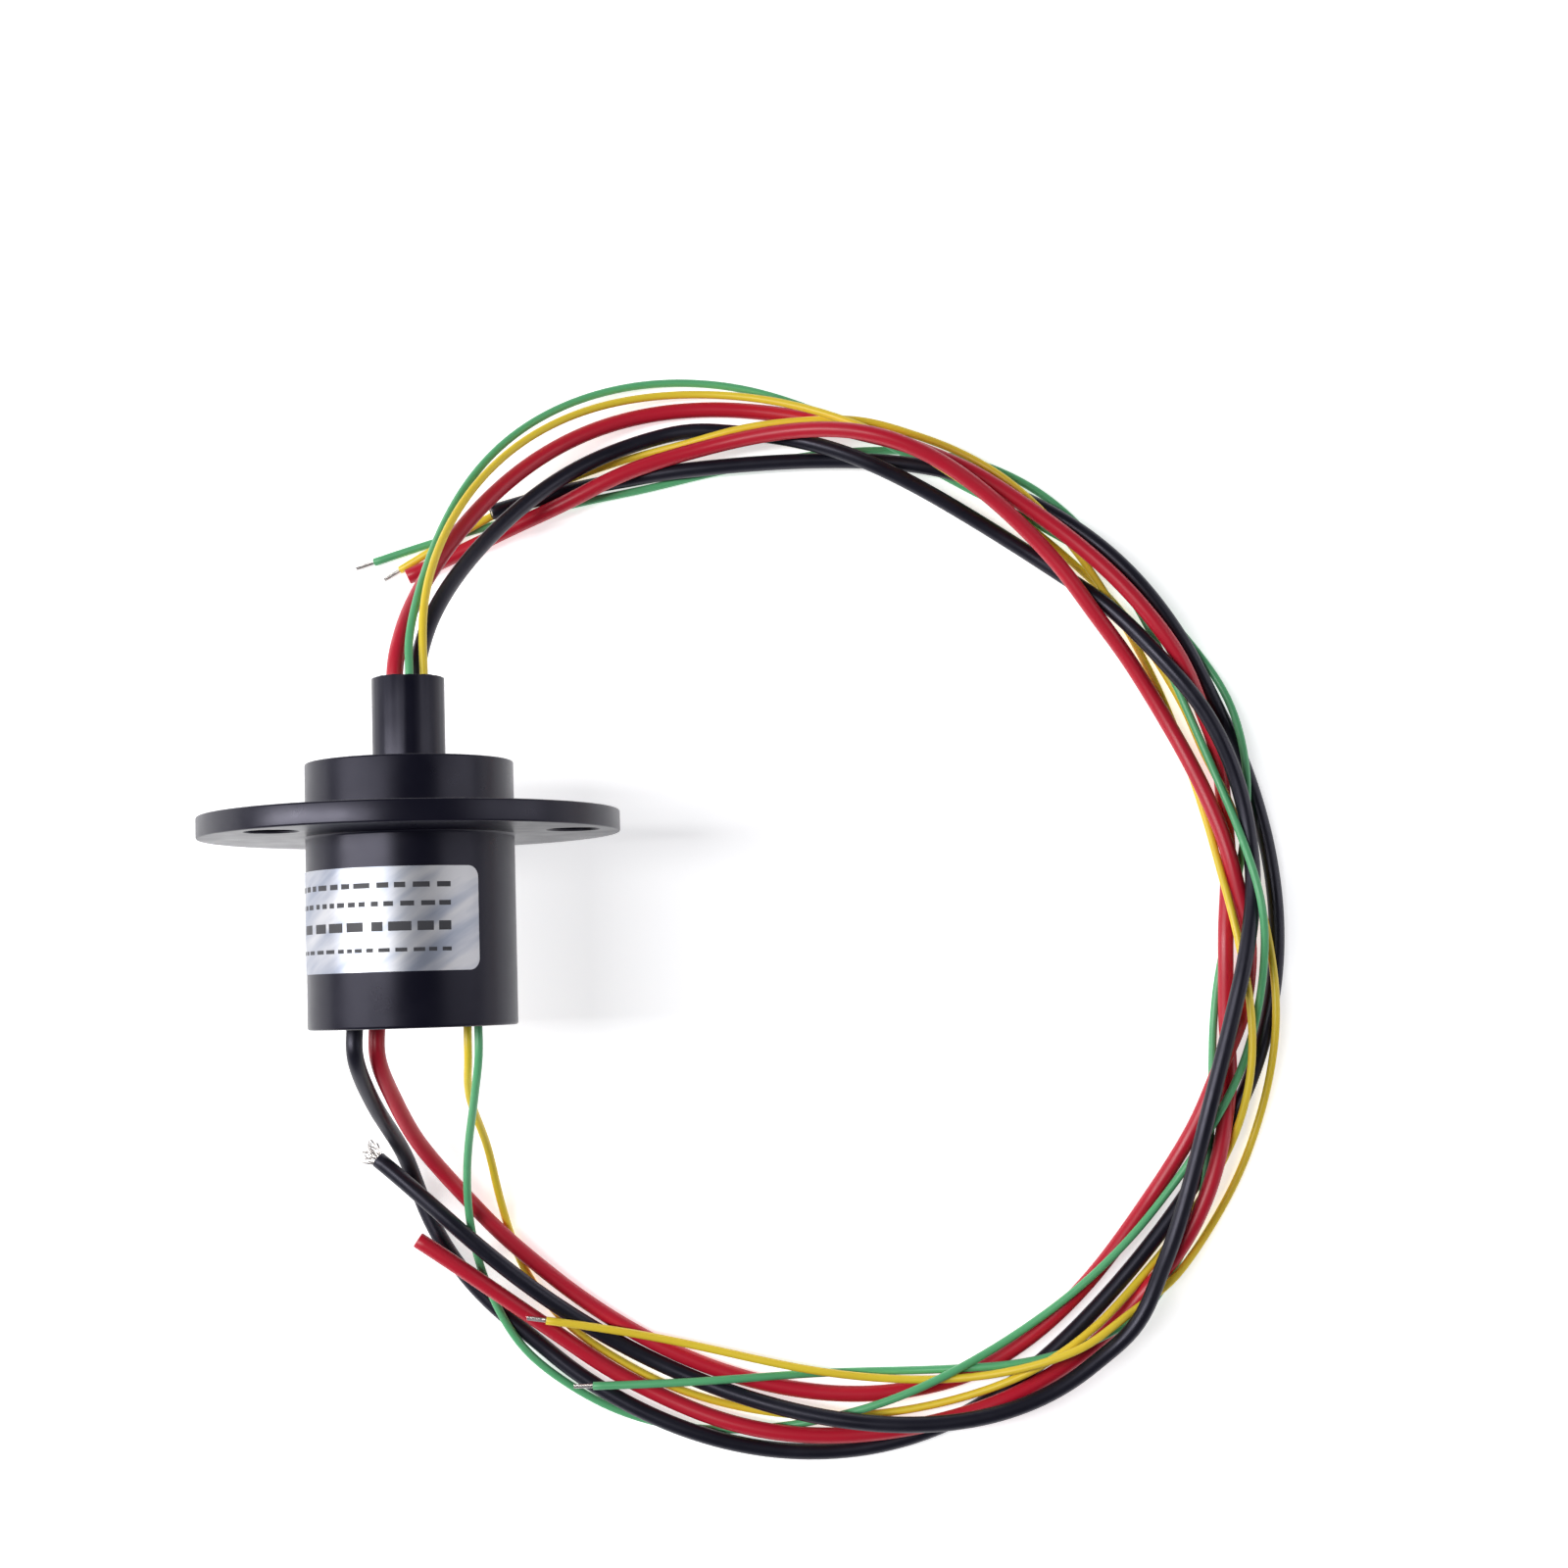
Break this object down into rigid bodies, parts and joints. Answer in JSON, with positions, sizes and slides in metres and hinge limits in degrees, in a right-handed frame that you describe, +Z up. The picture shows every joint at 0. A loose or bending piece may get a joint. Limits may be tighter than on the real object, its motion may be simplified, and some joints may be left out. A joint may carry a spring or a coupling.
{
  "type": "slip ring",
  "caption": "Small capsule slip ring: a black flanged housing with a turning stub shaft, bare silver label and free coloured leads on both sides.",
  "frame": {"origin": "centre of the flange's barrel-side face, on the spin axis", "axes": "+Y along the spin axis, from the barrel towards the stub shaft; +Z up, away from the table that it lies on"},
  "size_m": [0.1191, 0.1241, 0.0445],
  "materials": {
    "black_moulding": "satin",
    "black_shaft": "satin",
    "bearing_steel": "polished",
    "cage_plastic": "matte",
    "barrier_plastic": "matte",
    "ring_metal": "polished",
    "brush_wire": "polished",
    "circuit_board": "satin",
    "solder": "satin",
    "silver_label": "satin",
    "potting": "gloss",
    "tinned_wire": "satin",
    "red_lead": "satin",
    "black_lead": "satin",
    "yellow_lead": "satin",
    "green_lead": "satin"
  },
  "bodies": {
    "stator": {"housing": "black_moulding", "rear_cover": "black_moulding", "front_bearing_outer_race": "bearing_steel", "rear_bearing_outer_race": "bearing_steel", "brush_board": "circuit_board", "terminal_board": "circuit_board", "power_brush_1": "brush_wire", "power_brush_2": "brush_wire", "signal_brush_1": "brush_wire", "signal_brush_2": "brush_wire", "brush_solder_joints": "solder", "lead_solder_joints": "solder", "rating_label": "silver_label", "stator_red_lead": "red_lead", "stator_black_lead": "black_lead", "stator_yellow_lead": "yellow_lead", "stator_green_lead": "green_lead", "stator_yellow_bare_end": "tinned_wire", "stator_green_bare_end": "tinned_wire"},
    "rotor": {"front_bearing_inner_race": "bearing_steel", "rear_bearing_inner_race": "bearing_steel", "rotor_shaft": "black_shaft", "ring_barrier_1": "barrier_plastic", "power_ring_1": "ring_metal", "ring_barrier_2": "barrier_plastic", "power_ring_2": "ring_metal", "ring_barrier_3": "barrier_plastic", "signal_ring_1": "ring_metal", "ring_barrier_4": "barrier_plastic", "signal_ring_2": "ring_metal", "ring_barrier_5": "barrier_plastic", "bearing_spacer_sleeve": "bearing_steel", "rear_circlip": "bearing_steel", "ring_solder_pins": "solder", "stub_potting": "potting", "rotor_red_lead": "red_lead", "rotor_black_lead": "black_lead", "rotor_yellow_lead": "yellow_lead", "rotor_green_lead": "green_lead", "rotor_black_strands": "tinned_wire", "rotor_yellow_bare_end": "tinned_wire", "rotor_green_bare_end": "tinned_wire"},
    "front_cage": {"front_bearing_balls": "bearing_steel", "front_bearing_cage": "cage_plastic"},
    "rear_cage": {"rear_bearing_balls": "bearing_steel", "rear_bearing_cage": "cage_plastic"}
  },
  "joints": [
    {"name": "rotor_spin", "type": "hinge", "parent": "stator", "child": "rotor", "pos_m": [0, 0, 0], "axis": [0, -1, 0], "continuous": true},
    {"name": "front_cage_spin", "type": "hinge", "parent": "stator", "child": "front_cage", "pos_m": [0, 0, 0], "axis": [0, -1, 0], "continuous": true},
    {"name": "rear_cage_spin", "type": "hinge", "parent": "stator", "child": "rear_cage", "pos_m": [0, 0, 0], "axis": [0, -1, 0], "continuous": true}
  ],
  "couplings": [
    {"joint": "front_cage_spin", "follows": "rotor_spin", "ratio": 0.44},
    {"joint": "rear_cage_spin", "follows": "rotor_spin", "ratio": 0.4375}
  ]
}
